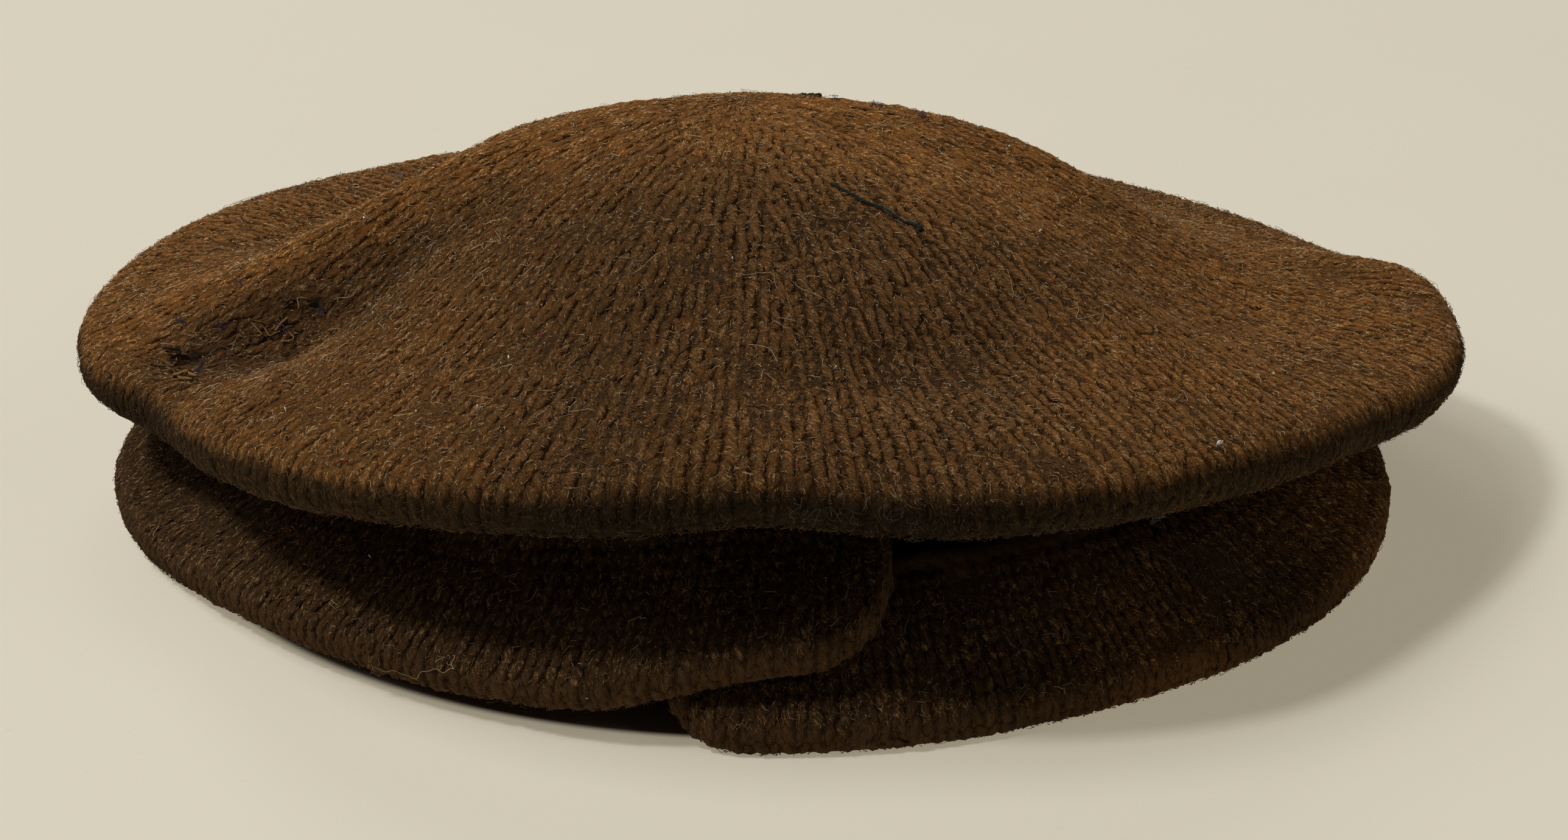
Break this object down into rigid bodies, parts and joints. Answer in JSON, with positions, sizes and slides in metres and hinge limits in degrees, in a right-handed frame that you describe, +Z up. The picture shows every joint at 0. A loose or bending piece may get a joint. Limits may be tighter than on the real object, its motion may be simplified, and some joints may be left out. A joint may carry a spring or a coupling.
{
  "type": "knitted wool cap",
  "caption": "Wide soft knitted wool cap with a hollow disc-shaped crown over a thick doubled brim, split and overlapped at the front.",
  "frame": {"origin": "on the surface that the cap rests on, under the middle of its box", "axes": "+Z up through the top of the crown, -Y toward the front where the brim is split, +X toward the right hand side of the front view"},
  "size_m": [0.2622, 0.2472, 0.077],
  "materials": {
    "crown_knit": "fulled stocking-stitch wool, dark brown",
    "brim_knit": "fulled stocking-stitch wool, doubled, dark brown"
  },
  "bodies": {
    "root": {"crown": "crown_knit", "brim": "brim_knit"}
  },
  "joints": []
}
